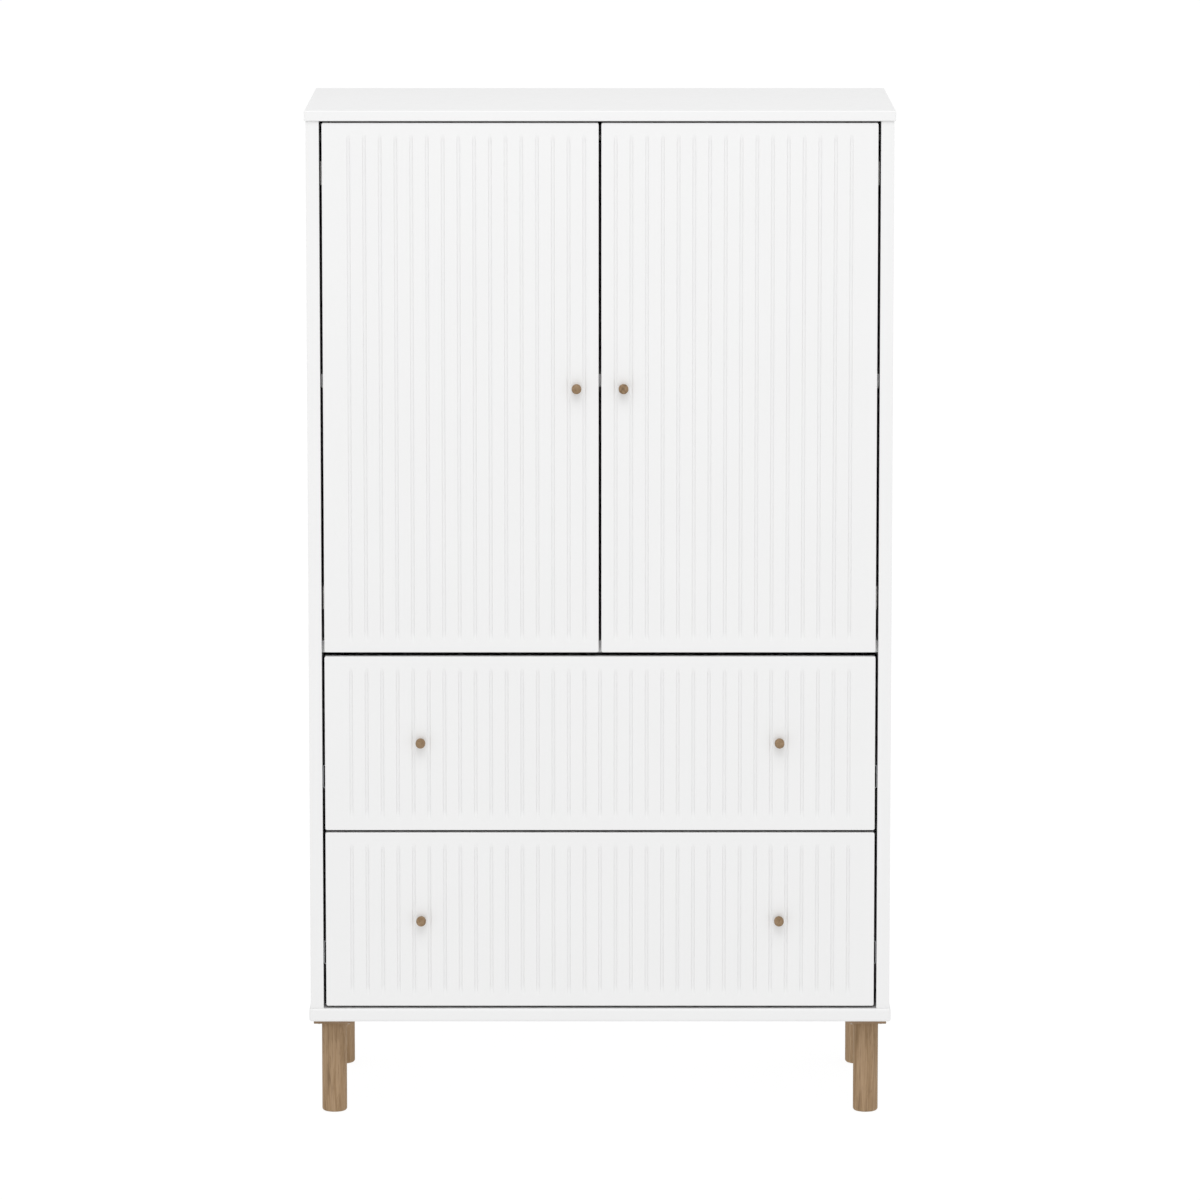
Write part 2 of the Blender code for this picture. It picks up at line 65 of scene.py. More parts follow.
# Grooves and edges of the doors and drawer fronts
GROOVE_PITCH = 0.030
GROOVE_REACH = 16  # pitches from the middle of the wardrobe to the last groove
GROOVE_WIDTH = 0.0076
GROOVE_DEPTH = 0.0026
GROOVE_LIP = 0.0002  # flat strip beside each groove, which keeps the shading of the face flat
GROOVE_WALL = 0.5  # share of the groove's half width over which its side slopes down
GROOVE_MARGIN = 0.0190  # from a front's upper or lower edge to the groove's tip
GROOVE_FADE = 0.0205  # over which a groove deepens from its tip
GROOVE_STEPS = 20
FRONT_CORNER = 0.0035
FRONT_EDGE = 0.0016
REAR_EDGE = 0.0006

# Edge radii of the panels
TOP_EDGE = 0.0022
BOTTOM_EDGE = 0.0050
PANEL_EDGE = 0.0010
BOX_EDGE = 0.0016
SHEET_EDGE = 0.0003  # of a drawer's bottom
PLATE_EDGE = 0.0012

# Turned parts
LEG_ROUND = 0.0055
KNOB_ROUND = 0.0020
KNOB_WAIST = 0.86  # of the knob's radius, where it meets the face
KNOB_DOME = 0.0003
RAIL_WALL = 0.0010
RAIL_EDGE = 0.0003

# Shelf pins, and the rows of holes for them
PIN_PITCH = 0.032
PIN_ROWS = 3  # holes above and below the pins
PIN_HOLE_RADIUS = 0.0028
PIN_HOLE_DEPTH = 0.0105
PIN_HEAD_LENGTH = 0.0077
PIN_EDGE = 0.0008

# Sockets of the clothes rail
SOCKET_FLANGE = 0.0028
SOCKET_EDGE = 0.0012
SOCKET_COLLAR = 0.0170  # outer radius
SOCKET_SEAT = 0.0022  # from the side panel to the end of the rail
SOCKET_RIM = 0.0008

# Cam covers and door bumpers, as (radius, height) points
CAM_COVER = [(0.0, 0.0), (0.0085, 0.0), (0.0085, 0.0007), (0.0078, 0.0013), (0.0, 0.0014)]
CAM_COVER_DOWN = 0.034  # from the top panel
CAM_COVER_UP = (0.070, 0.190)  # from the lower edge of a drawer's side
CAM_COVER_BACK = 0.032  # from the front end of a drawer's side
BUMPER = [(0.0, 0.0), (0.0040, 0.0), (0.0037, 0.0008), (0.0028, 0.0011), (0.0, 0.0012)]
BUMPER_IN = (0.014, 0.010)  # from a door's free edge, and from its upper or lower edge

# Screw heads' radii, and where the screws are
KNOB_SCREW = 0.0042
HINGE_SCREW = 0.0036
LEG_SCREW = 0.0036
LEG_SCREW_IN = 0.010  # from the edges of the leg's plate
BACK_SCREW = 0.0034
BACK_SCREW_IN = 0.012  # from the edges of the back panel
BACK_SCREW_PITCH = 0.150
RUNNER_SCREW = 0.0030
CABINET_SCREWS = (0.037, 0.165, 0.293, 0.421)  # from the runner's front end
DRAWER_SCREWS = (0.050, 0.250, 0.440)
SOCKET_SCREW = 0.0021

# Fold down the middle of the back panel
FOLD_HALF = 0.0012
FOLD_DEPTH = 0.0015

# Concealed hinges. Outlines are seen from above, about the link's axis.
LINK_TIP = (0.0283, -0.0125)
LINK_THICK = 0.0025
EYE_RADIUS = 0.0030
HINGE_PIN = 0.0018
NOSE_RADIUS = 0.0040
CUP_WALL = 0.0012
CUP_FLANGE = 0.0012
CUP_RIM = 0.0012  # from the cup's outer wall to the flange's edge
CUP_WING = 0.0100  # radius of the flange's two ends
CUP_PROUD = 0.0001
CUP_FLOOR = 0.0010
CUP_FILLET = 0.0030
CUP_NOTCH = 0.0060
ARM_WALL = (0.003, 0.012)  # nearest and furthest from the side panel
ARM_BACK = (0.0125, 0.068)  # from the link's axis
ARM_HALF = 0.0062
ARM_PIN = 0.0015
ARM_SLOT = 0.009  # radius of the fork's slot about the pin
ARM_SCREWS = (0.033, 0.054)  # from the link's axis
MOUNT_THICK = 0.0038
MOUNT_BACK = 0.040  # from the link's axis
MOUNT_HALF = (0.018, 0.023)
MOUNT_SCREWS = 0.0165  # above and below the middle

# Runners
SHEET = 0.0015
SHEET_BEND = 0.0024
BALL_RADIUS = 0.0024
BALL_PITCH = 0.014
BALLS = 9
BALL_PLANE = 0.0062  # from the side panel
CAGE_HALF = (0.0021, 0.0008)  # width and thickness
CAGE_BACK = 0.004  # from the runner's front end

# Studio
STUDIO_RADIUS = 60.0
FLOOR_DROP = 0.0005  # below the feet
FLOOR_GLOW = 0.925
BACKDROP_GLOW = 1.05
AMBIENT = 0.845
KEY_SIZE = (5.6, 4.4)
KEY_POWER = 205.0  # watts
KEY_PLACE = (0.0, -4.6, 7.6)
KEY_AIM = (0.0, 0.0, 1.2)
CAMERA_DISTANCE = 13.569  # in front of the doors
CAMERA_HEIGHT = 3.0155
CAMERA_DOWN = 8.383  # degrees below the horizontal
CAMERA_LENS = 213.89  # millimetres


# ---------------------------------------------------------------- node helpers


def add_node(tree, kind, inputs=None, **settings):
    """A shader node, with its inputs set to values or linked from sockets."""
    made = tree.nodes.new(kind)
    for key, value in settings.items():
        setattr(made, key, value)
    for key, value in (inputs or {}).items():
        if isinstance(value, bpy.types.NodeSocket):
            tree.links.new(value, made.inputs[key])
        else:
            made.inputs[key].default_value = value
    return made


def start_material(name):
    material = bpy.data.materials.new(name)
    material.use_nodes = True
    tree = material.node_tree
    shader = tree.nodes["Principled BSDF"]
    coords = tree.nodes.new("ShaderNodeTexCoord").outputs["Object"]
    return material, tree, shader, coords


def stretched(tree, coords, scale):
    return add_node(tree, "ShaderNodeMapping", {"Vector": coords, "Scale": scale}).outputs["Vector"]


def noise(tree, vector, scale, detail=2.0, roughness=0.5, distortion=0.0):
    inputs = {"Vector": vector, "Scale": scale, "Detail": detail}
    inputs |= {"Roughness": roughness, "Distortion": distortion}
    return add_node(tree, "ShaderNodeTexNoise", inputs).outputs["Fac"]


def remap(tree, value, low, high, to_low, to_high):
    inputs = {"Value": value, "From Min": low, "From Max": high, "To Min": to_low, "To Max": to_high}
    return add_node(tree, "ShaderNodeMapRange", inputs).outputs["Result"]


def maths(tree, operation, first, second=0.0):
    made = add_node(tree, "ShaderNodeMath", {0: first, 1: second}, operation=operation)
    return made.outputs["Value"]


def ramp(tree, value, stops):
    made = add_node(tree, "ShaderNodeValToRGB", {"Fac": value})
    stops_now = made.color_ramp.elements
    while len(stops_now) < len(stops):
        stops_now.new(0.5)
    for stop, (place, colour) in zip(stops_now, stops):
        stop.position = place
        stop.color = (*colour, 1.0)
    return made.outputs["Color"]


def mix_colours(tree, share, first, second, blend="MIX"):
    made = add_node(tree, "ShaderNodeMix", data_type="RGBA", blend_type=blend)
    for key, value in ((0, share), (6, first), (7, second)):
        if isinstance(value, bpy.types.NodeSocket):
            tree.links.new(value, made.inputs[key])
        elif key:
            made.inputs[key].default_value = (*value, 1.0)
        else:
            made.inputs[key].default_value = value
    return made.outputs[2]


def bump(tree, height, distance, strength=1.0, normal=None):
    inputs = {"Height": height, "Distance": distance, "Strength": strength}
    if normal is not None:
        inputs["Normal"] = normal
    return add_node(tree, "ShaderNodeBump", inputs).outputs["Normal"]


# ------------------------------------------------------------------- materials


def lacquer_material():
    """Sprayed satin lacquer on board: faint orange peel and cloudy gloss."""
    material, tree, shader, coords = start_material("satin_lacquer")
    cloud = noise(tree, coords, 5.0, 3.0)
    colour = ramp(tree, cloud, [(0.30, (0.796, 0.796, 0.796)), (0.70, (0.804, 0.804, 0.804))])
    gloss = noise(tree, coords, 45.0, 4.0)
    peel = noise(tree, coords, 420.0, 2.0)
    waviness = noise(tree, coords, 26.0, 1.0)
    normal = bump(tree, waviness, 0.00005, 0.5)
    normal = bump(tree, peel, 0.000012, 0.6, normal)
    tree.links.new(colour, shader.inputs["Base Color"])
    tree.links.new(remap(tree, gloss, 0.3, 0.7, 0.34, 0.43), shader.inputs["Roughness"])
    tree.links.new(normal, shader.inputs["Normal"])
    return material


def liner_material():
    """Matte white foil on board, with a fine pressed grain."""
    material, tree, shader, coords = start_material("matte_foil")
    cloud = noise(tree, coords, 9.0, 4.0)
    colour = ramp(tree, cloud, [(0.3, (0.755, 0.755, 0.749)), (0.7, (0.767, 0.767, 0.760))])
    grain = noise(tree, coords, 900.0, 3.0, 0.6)
    gloss = noise(tree, coords, 160.0, 3.0)
    tree.links.new(colour, shader.inputs["Base Color"])
    tree.links.new(remap(tree, gloss, 0.3, 0.7, 0.50, 0.62), shader.inputs["Roughness"])
    tree.links.new(bump(tree, grain, 0.00003, 0.7), shader.inputs["Normal"])
    return material


def oak_material(name, grain_axis, tint=(1.0, 1.0, 1.0)):
    """Oiled oak: wavy growth bands, fibres, open pores and dark veins drawn out along the grain."""
    material, tree, shader, coords = start_material(name)

    def along(across_scale, along_scale):
        scale = [across_scale] * 3
        scale["XYZ".index(grain_axis)] = along_scale
        return stretched(tree, coords, scale)

    def tone(*colour):
        return tuple(part * share for part, share in zip(colour, tint))

    bands = noise(tree, along(1.0, 0.07), 120.0, 3.0, 0.5, 1.0)
    tones = [(0.34, tone(0.272, 0.176, 0.092)), (0.47, tone(0.338, 0.227, 0.127))]
    tones.append((0.66, tone(0.378, 0.258, 0.151)))
    colour = ramp(tree, bands, tones)
    rings = maths(tree, "PINGPONG", maths(tree, "MULTIPLY", bands, 4.0), 0.5)
    lines = remap(tree, rings, 0.0, 0.10, 0.6, 0.0)
    colour = mix_colours(tree, lines, colour, tone(0.225, 0.144, 0.076))
    fibre = noise(tree, along(1.0, 0.03), 620.0, 4.0, 0.6)
    fibres = ramp(tree, fibre, [(0.32, (0.80, 0.78, 0.76)), (0.62, (1.05, 1.05, 1.05))])
    colour = mix_colours(tree, 0.75, colour, fibres, "MULTIPLY")
    pore = noise(tree, along(1.0, 0.028), 1150.0, 2.0, 0.5)
    pores = remap(tree, pore, 0.62, 0.72, 0.0, 1.0)
    colour = mix_colours(tree, maths(tree, "MULTIPLY", pores, 0.5), colour, tone(0.150, 0.095, 0.055))
    vein = maths(tree, "ABSOLUTE", maths(tree, "SUBTRACT", noise(tree, along(1.0, 0.05), 34.0, 2.0), 0.5))
    broken = remap(tree, noise(tree, along(1.0, 0.25), 60.0, 2.0), 0.42, 0.60, 0.0, 0.7)
    veins = maths(tree, "MULTIPLY", remap(tree, vein, 0.0, 0.022, 1.0, 0.0), broken)
    colour = mix_colours(tree, veins, colour, tone(0.176, 0.112, 0.062))
    height = maths(tree, "SUBTRACT", maths(tree, "MULTIPLY", fibre, 0.4), pores)
    tree.links.new(colour, shader.inputs["Base Color"])
    tree.links.new(remap(tree, fibre, 0.3, 0.7, 0.72, 0.58), shader.inputs["Roughness"])
    tree.links.new(bump(tree, height, 0.00010, 0.6), shader.inputs["Normal"])
    shader.inputs["Specular IOR Level"].default_value = 0.10
    return material


def metal_material(name, dark, light, roughness, mottle_scale):
    """Plated steel with faintly mottled plating and fine rolling marks."""
    material, tree, shader, coords = start_material(name)
    cells = add_node(tree, "ShaderNodeTexVoronoi", {"Vector": coords, "Scale": mottle_scale})
    cells = add_node(tree, "ShaderNodeSeparateColor", {"Color": cells.outputs["Color"]}).outputs["Red"]
    cloud = noise(tree, coords, mottle_scale, 3.0)
    blend = maths(tree, "MULTIPLY", maths(tree, "ADD", cells, cloud), 0.5)
    tree.links.new(ramp(tree, blend, [(0.2, dark), (0.8, light)]), shader.inputs["Base Color"])
    marks = noise(tree, stretched(tree, coords, (1.0, 0.04, 1.0)), 2600.0, 2.0)
    rough = maths(tree, "ADD", remap(tree, marks, 0.3, 0.7, -0.04, 0.05), roughness)
    tree.links.new(rough, shader.inputs["Roughness"])
    tree.links.new(bump(tree, marks, 0.00001, 0.5), shader.inputs["Normal"])
    shader.inputs["Metallic"].default_value = 1.0
    return material


LACQUER = lacquer_material()
LINER = liner_material()
LEG_OAK = oak_material("leg_oak", "Z", (1.02, 1.03, 1.08))
PLATE_OAK = oak_material("plate_oak", "X", (0.95, 0.99, 1.15))
KNOB_OAK = oak_material("knob_oak", "Y", (0.88, 0.90, 0.96))
NICKEL = metal_material("nickel_plate", (0.60, 0.59, 0.57), (0.68, 0.67, 0.65), 0.27, 180.0)
ZINC = metal_material("zinc_plate", (0.585, 0.60, 0.62), (0.625, 0.64, 0.66), 0.36, 420.0)


# ---------------------------------------------------------------- mesh helpers


def add_box(shape, low, high):
    low, high = Vector(low), Vector(high)
    matrix = Matrix.Translation((low + high) / 2) @ Matrix.Diagonal((*(high - low), 1.0))
    bmesh.ops.create_cube(shape, size=1.0, matrix=matrix)


def rounded_box(low, high, radius, segments=3, along="XYZ"):
    """A box whose edges are rounded where they run along the given axes."""
    shape = bmesh.new()
    add_box(shape, low, high)
    axes = ["XYZ".index(axis) for axis in along]
    edges = []
    for edge in shape.edges:
        run = edge.verts[0].co - edge.verts[1].co
        if max(range(3), key=lambda i: abs(run[i])) in axes:
            edges.append(edge)
    bmesh.ops.bevel(shape, geom=edges, offset=radius, segments=segments, profile=0.5, affect="EDGES")
    return shape


def box_shape(low, high):
    shape = bmesh.new()
    add_box(shape, low, high)
    return shape


def turn_to(direction):
    return Vector(direction).to_track_quat("Z", "Y").to_matrix().to_4x4()


def add_turned(shape, profile, centre, direction, sides=ROUND_SIDES, ring=False):
    """Turns (radius, height) points round a line through centre. A radius of 0 is a single point."""
    place = Matrix.Translation(centre) @ turn_to(direction)
    loops = []
    for radius, height in profile:
        angles = [2 * math.pi * i / sides for i in range(sides)] if radius else [0.0]
        points = [Vector((radius * math.cos(a), radius * math.sin(a), height)) for a in angles]
        loops.append([shape.verts.new(place @ p) for p in points])
    pairs = list(zip(loops, loops[1:]))
    if ring:
        pairs.append((loops[-1], loops[0]))
    for lower, upper in pairs:
        for i in range(sides):
            j = (i + 1) % sides
            if len(lower) == 1:
                shape.faces.new((lower[0], upper[j], upper[i]))
            elif len(upper) == 1:
                shape.faces.new((lower[i], lower[j], upper[0]))
            else:
                shape.faces.new((lower[i], lower[j], upper[j], upper[i]))
    for end in () if ring else (loops[0], loops[-1]):
        if len(end) > 1:
            shape.faces.new(end)


def turned_shape(*args, **options):
    shape = bmesh.new()
    add_turned(shape, *args, **options)
    return shape


def arc(centre, radius, start, end, steps):
    """Points round part of a circle, with the angles in degrees."""
    angles = [math.radians(start + (end - start) * i / steps) for i in range(steps + 1)]
    return [(centre[0] + radius * math.cos(a), centre[1] + radius * math.sin(a)) for a in angles]


def add_extruded(shape, outline, place, low, high):
    """Extrudes an outline of (u, v) points from low to high; place turns (u, v, w) into a point."""
    ends = [[shape.verts.new(place(u, v, w)) for u, v in outline] for w in (low, high)]
    for i in range(len(outline)):
        j = (i + 1) % len(outline)
        shape.faces.new((ends[0][i], ends[0][j], ends[1][j], ends[1][i]))
    for end in ends:
        shape.faces.new(end)


def soften(shape, width, segments=2, angle=30):
    """Rounds the sharp edges of a shape."""
    bmesh.ops.recalc_face_normals(shape, faces=shape.faces)
    sharp = [e for e in shape.edges if e.is_manifold and e.calc_face_angle(0.0) > math.radians(angle)]
    bmesh.ops.bevel(shape, geom=sharp, offset=width, segments=segments, profile=0.5, affect="EDGES")


def mesh_of(shape, name):
    bmesh.ops.recalc_face_normals(shape, faces=shape.faces)
    mesh = bpy.data.meshes.new(name)
    shape.to_mesh(mesh)
    shape.free()
    return mesh


def cut_away(obj, cutters):
    """Takes closed shapes away from an object's mesh, for good."""
    for cutter in cutters:
        helper = bpy.data.objects.new("cutter", mesh_of(cutter, "cutter"))
        bpy.context.scene.collection.objects.link(helper)
        modifier = obj.modifiers.new("cut", "BOOLEAN")
        modifier.operation = "DIFFERENCE"
        modifier.solver = "EXACT"
        modifier.object = helper
        graph = bpy.context.evaluated_depsgraph_get()
        cut_mesh = bpy.data.meshes.new_from_object(obj.evaluated_get(graph))
        obj.modifiers.clear()
        obj.data = cut_mesh
        bpy.data.objects.remove(helper)


def make_piece(name, shape, body, material, replaces=(), cutters=(), flat_faces=False):
    """Turns a shape into a finished piece that rides on a body."""
    obj = bpy.data.objects.new(name, mesh_of(shape, name))
    bpy.context.scene.collection.objects.link(obj)
    cut_away(obj, cutters)
    obj.data.shade_smooth()
    obj.data.set_sharp_from_angle(angle=math.radians(SMOOTH_ANGLE))
    obj.data.materials.clear()
    obj.data.materials.append(material)
    if flat_faces:
        weighting = obj.modifiers.new("flat_faces", "WEIGHTED_NORMAL")
        weighting.keep_sharp = True
    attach(obj, body)
    if replaces:
        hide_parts(*replaces)


def panel(
    node, body, radius, material=LACQUER, segments=3, cutters=(), along="XYZ", low=None
):
    """A board in place of a CAD node, with its edges rounded where they run along the given axes."""
    box_low, box_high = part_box(node)
    shape = rounded_box(low or box_low, box_high, radius, segments, along)
    make_piece(node + "_board", shape, body, material, [node], cutters, flat_faces=True)


def middle(node):
    low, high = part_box(node)
    return (low + high) / 2


# ---------------------------------------------------------------------- screws


def screw_mesh():
    """A pan head of radius 1 with a cross recess, standing on z = 0 and facing +Z."""
    dome = [(1.0, 0.0), (1.0, 0.10), (0.95, 0.28), (0.80, 0.46), (0.55, 0.58), (0.28, 0.63), (0.0, 0.645)]
    blank = turned_shape(dome, (0, 0, 0), (0, 0, 1), SCREW_SIDES)
    head = bpy.data.objects.new("screw_head", mesh_of(blank, "head"))
    bpy.context.scene.collection.objects.link(head)
    arm, reach, floor, above = 0.13, 0.56, 0.18, 0.80
    corner = [(arm, reach), (arm, arm), (reach, arm)]
    outline = []
    for quarter in range(4):
        c, s = round(math.cos(quarter * math.pi / 2)), round(math.sin(quarter * math.pi / 2))
        outline += [(u * c + v * s, v * c - u * s) for u, v in corner]

    def place(u, v, w):
        shrink = 0.55 + 0.45 * (w - floor) / (above - floor)
        return (u * shrink, v * shrink, w)

    recess = bmesh.new()
    add_extruded(recess, outline, place, floor, above)
    cut_away(head, [recess])
    mesh = head.data
    bpy.data.objects.remove(head)
    return mesh


SCREW = screw_mesh()


def add_copy(shape, mesh, matrix):
    before = len(shape.verts)
    shape.from_mesh(mesh)
    shape.verts.ensure_lookup_table()
    bmesh.ops.transform(shape, matrix=matrix, verts=shape.verts[before:])


def discs(name, profile, places, body, sides=DISC_SIDES):
    """Small turned plastic covers at (centre, direction) places."""
    shape = bmesh.new()
    for centre, direction in places:
        add_turned(shape, profile, centre, direction, sides)
    make_piece(name, shape, body, LINER)


def screws(name, places, radius, body, material=NICKEL):
    """Screw heads at (centre, direction) places, each turned a little differently."""
    shape = bmesh.new()
    for i, (centre, direction) in enumerate(places):
        spin = Matrix.Rotation(math.radians(37 * i), 4, "Z")
        matrix = Matrix.Translation(centre) @ turn_to(direction) @ spin @ Matrix.Scale(radius, 4)
        add_copy(shape, SCREW, matrix)
    make_piece(name, shape, body, material)


# ---------------------------------------------------------------- grooved fronts


def eased(share):
    """0 below 0, 1 above 1 and a smooth rise between."""
    share = min(1.0, max(0.0, share))
    return share * share * (3 - 2 * share)


def front_rings(thick):
    """(inset, distance behind the face) of each ring from the face round to the back."""
    quarter = [math.radians(22.5 * i) for i in range(5)]
    rings = [(FRONT_EDGE * (1 - math.sin(a)), FRONT_EDGE * (1 - math.cos(a))) for a in quarter]
    half = [math.radians(30 * i) for i in range(4)]
    rings += [(REAR_EDGE * (1 - math.cos(a)), thick - REAR_EDGE * (1 - math.sin(a))) for a in half]
    return rings


def grooved_shape(low, high):
    """A front with vertical grooves, rounded corners and softened edges."""
    spine_low = (low.x + FRONT_CORNER, low.z + FRONT_CORNER)
    spine_high = (high.x - FRONT_CORNER, high.z - FRONT_CORNER)
    reach = range(-GROOVE_REACH, GROOVE_REACH + 1)
    centres = [n * GROOVE_PITCH for n in reach if low.x < n * GROOVE_PITCH < high.x]
    ends = (low.z + GROOVE_MARGIN, high.z - GROOVE_MARGIN)
    half = GROOVE_WIDTH / 2
    steps = range(GROOVE_STEPS + 1)
    xs = [spine_low[0]]
    for centre in centres:
        xs.append(centre - half - GROOVE_LIP)
        xs += [centre - half + GROOVE_WIDTH * i / GROOVE_STEPS for i in steps]
        xs.append(centre + half + GROOVE_LIP)
    xs.append(spine_high[0])
    fade = [GROOVE_FADE * i / GROOVE_STEPS for i in steps]
    zs = [spine_low[1]] + [ends[0] + f for f in fade] + [ends[1] - f for f in reversed(fade)]
    zs.append(spine_high[1])

    def depth(x, z):
        if abs(x) > (GROOVE_REACH + 0.5) * GROOVE_PITCH:
            return 0.0
        across = abs(x - round(x / GROOVE_PITCH) * GROOVE_PITCH)
        from_tip = min(z - ends[0], ends[1] - z)
        return GROOVE_DEPTH * eased((1 - across / half) / GROOVE_WALL) * eased(from_tip / GROOVE_FADE)

    shape = bmesh.new()
    grid = [[shape.verts.new((x, low.y + depth(x, z), z)) for x in xs] for z in zs]
    for row, above in zip(grid, grid[1:]):
        for i in range(len(xs) - 1):
            shape.faces.new((row[i], row[i + 1], above[i + 1], above[i]))
    last = len(xs) - 1
    sides = [
        (grid[0], 0),
        ([row[last] for row in grid], 90),
        (grid[-1][::-1], 180),
        ([row[0] for row in reversed(grid)], 270),
    ]
    rim = []  # (vertex of the grid, direction outward in degrees)
    corner_steps = 6
    for verts, turn in sides:
        rim += [(v, turn - 90) for v in verts[:-1]]
        rim += [(verts[-1], turn - 90 + 90 * i / corner_steps) for i in range(corner_steps)]
    loops = []
    for inset, behind in front_rings(high.y - low.y):
        out = FRONT_CORNER - inset
        loop = []
        for vert, angle in rim:
            a = math.radians(angle)
            point = (vert.co.x + out * math.cos(a), low.y + behind, vert.co.z + out * math.sin(a))
            loop.append(shape.verts.new(point))
        loops.append(loop)
    count = len(rim)
    for i in range(count):
        j = (i + 1) % count
        first, second = rim[i][0], rim[j][0]
        corners = (first, loops[0][i], loops[0][j]) + ((second,) if second is not first else ())
        shape.faces.new(corners)
        for near, far in zip(loops, loops[1:]):
            shape.faces.new((near[i], far[i], far[j], near[j]))
    shape.faces.new(loops[-1])
    return shape


def knob(node, body):
    """A turned oak knob with a narrower waist, a soft rim and a barely domed face."""
    low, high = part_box(node)
    radius, length = (high.x - low.x) / 2, high.y - low.y
    profile = [(0.0, 0.0)]
    for i in range(9):
        t = i / 8
        swell = KNOB_WAIST + (1 - KNOB_WAIST) * math.sin(t * math.pi / 2)
        profile.append((radius * swell, length * 0.5 * t))
    profile += arc((radius - KNOB_ROUND, length - KNOB_DOME - KNOB_ROUND), KNOB_ROUND, 0, 80, 6)
    profile += [(radius * 0.45, length - KNOB_DOME * 0.25), (0.0, length)]
    centre = ((low.x + high.x) / 2, high.y, (low.z + high.z) / 2)
    shape = turned_shape(profile, centre, (0, -1, 0))
    make_piece(node + "_turned", shape, body, KNOB_OAK, [node])


def knob_screw(node, face_y):
    """The place of the screw that holds a knob, on the back of its front."""
    centre = middle(node)
    return ((centre.x, face_y, centre.z), (0, 1, 0))


# ---------------------------------------------------------------------- hinges


def cup_bore(centre, radius, depth):
    return turned_shape([(radius, -depth), (radius, CUT_CLEAR)], centre, (0, 1, 0), CUP_SIDES)


def hinge_cup(level, side, sign, body, back_y):
    """A pressed cup with a flange, two screw wings and a notch for the link. Returns the screws' places."""
    node = f"hinge_cup_{level}_{side}"
    low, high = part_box(node)
    centre = Vector(((low.x + high.x) / 2, back_y, (low.z + high.z) / 2))
    radius = (high.x - low.x) / 2
    depth = back_y - low.y
    rim = radius + CUP_RIM
    reach = (high.z - low.z) / 2 - CUP_WING
    lean = math.degrees(math.acos(CUP_WING / rim))
    outline = arc((0, 0), rim, -lean, lean, 16) + arc((0, reach), CUP_WING, 0, 180, 12)
    outline += arc((0, 0), rim, 180 - lean, 180 + lean, 16) + arc((0, -reach), CUP_WING, 180, 360, 12)

    def place(u, v, w):
        return (centre.x + u, centre.y + w, centre.z + v)

    def notch():
        edge = Vector((centre.x + sign * radius, back_y, centre.z))
        half = Vector((CUP_NOTCH, 0, CUP_NOTCH))
        return box_shape(edge - half - Vector((0, 0.0003, 0)), edge + half + Vector((0, CUT_CLEAR, 0)))

    shape = bmesh.new()
    add_extruded(shape, outline, place, CUP_PROUD, CUP_PROUD + CUP_FLANGE)
    soften(shape, 0.0003, 2, 50)
    inner = radius - CUP_WALL
    mouth = turned_shape([(inner, -0.002), (inner, CUT_CLEAR)], centre, (0, 1, 0), CUP_SIDES)
    make_piece(node + "_flange", shape, body, NICKEL, [node], [mouth, notch()])
    outer_fillet, inner_fillet, floor = CUP_FILLET, CUP_FILLET * 0.6, CUP_FLOOR - depth
    wall = [(0.0, -depth)] + arc((radius - outer_fillet, outer_fillet - depth), outer_fillet, -90, 0, 4)
    wall += [(radius, 0.0006), (inner, 0.0006)]
    wall += arc((inner - inner_fillet, inner_fillet + floor), inner_fillet, 0, -90, 4)
    wall.append((0.0, floor))
    well = turned_shape(wall, centre, (0, 1, 0), CUP_SIDES)
    make_piece(node + "_well", well, body, NICKEL, (), [notch()])
    face_y = back_y + CUP_PROUD + CUP_FLANGE
    return [((centre.x, face_y, centre.z + end * (reach + 0.0005)), (0, 1, 0)) for end in (-1, 1)]


def hinge_link(level, side, sign, axis):
    """A flat bar with a rolled eye round the arm's pin."""
    node = f"hinge_link_{level}_{side}"
    low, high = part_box(node)
    length = math.hypot(*LINK_TIP)
    lean = math.atan2(LINK_TIP[1], LINK_TIP[0])
    half = LINK_THICK / 2
    opening = math.degrees(math.asin(half / EYE_RADIUS))
    points = arc((0, 0), EYE_RADIUS, opening, 360 - opening, 32)
    points += arc((length - half, 0), half, -90, 90, 10)
    c, s = math.cos(lean), math.sin(lean)
    outline = [(sign * (u * c - v * s), u * s + v * c) for u, v in points]

    def place(u, v, w):
        return (axis[0] + u, axis[1] + v, w)

    shape = bmesh.new()
    add_extruded(shape, outline, place, low.z, high.z)
    soften(shape, 0.0003, 2, 50)
    ends = [(HINGE_PIN, low.z - 0.002), (HINGE_PIN, high.z + 0.002)]
    hole = turned_shape(ends, (*axis[:2], 0), (0, 0, 1), SMALL_SIDES)
    make_piece(node + "_bar", shape, "hinge_links_" + side, NICKEL, [node], [hole])


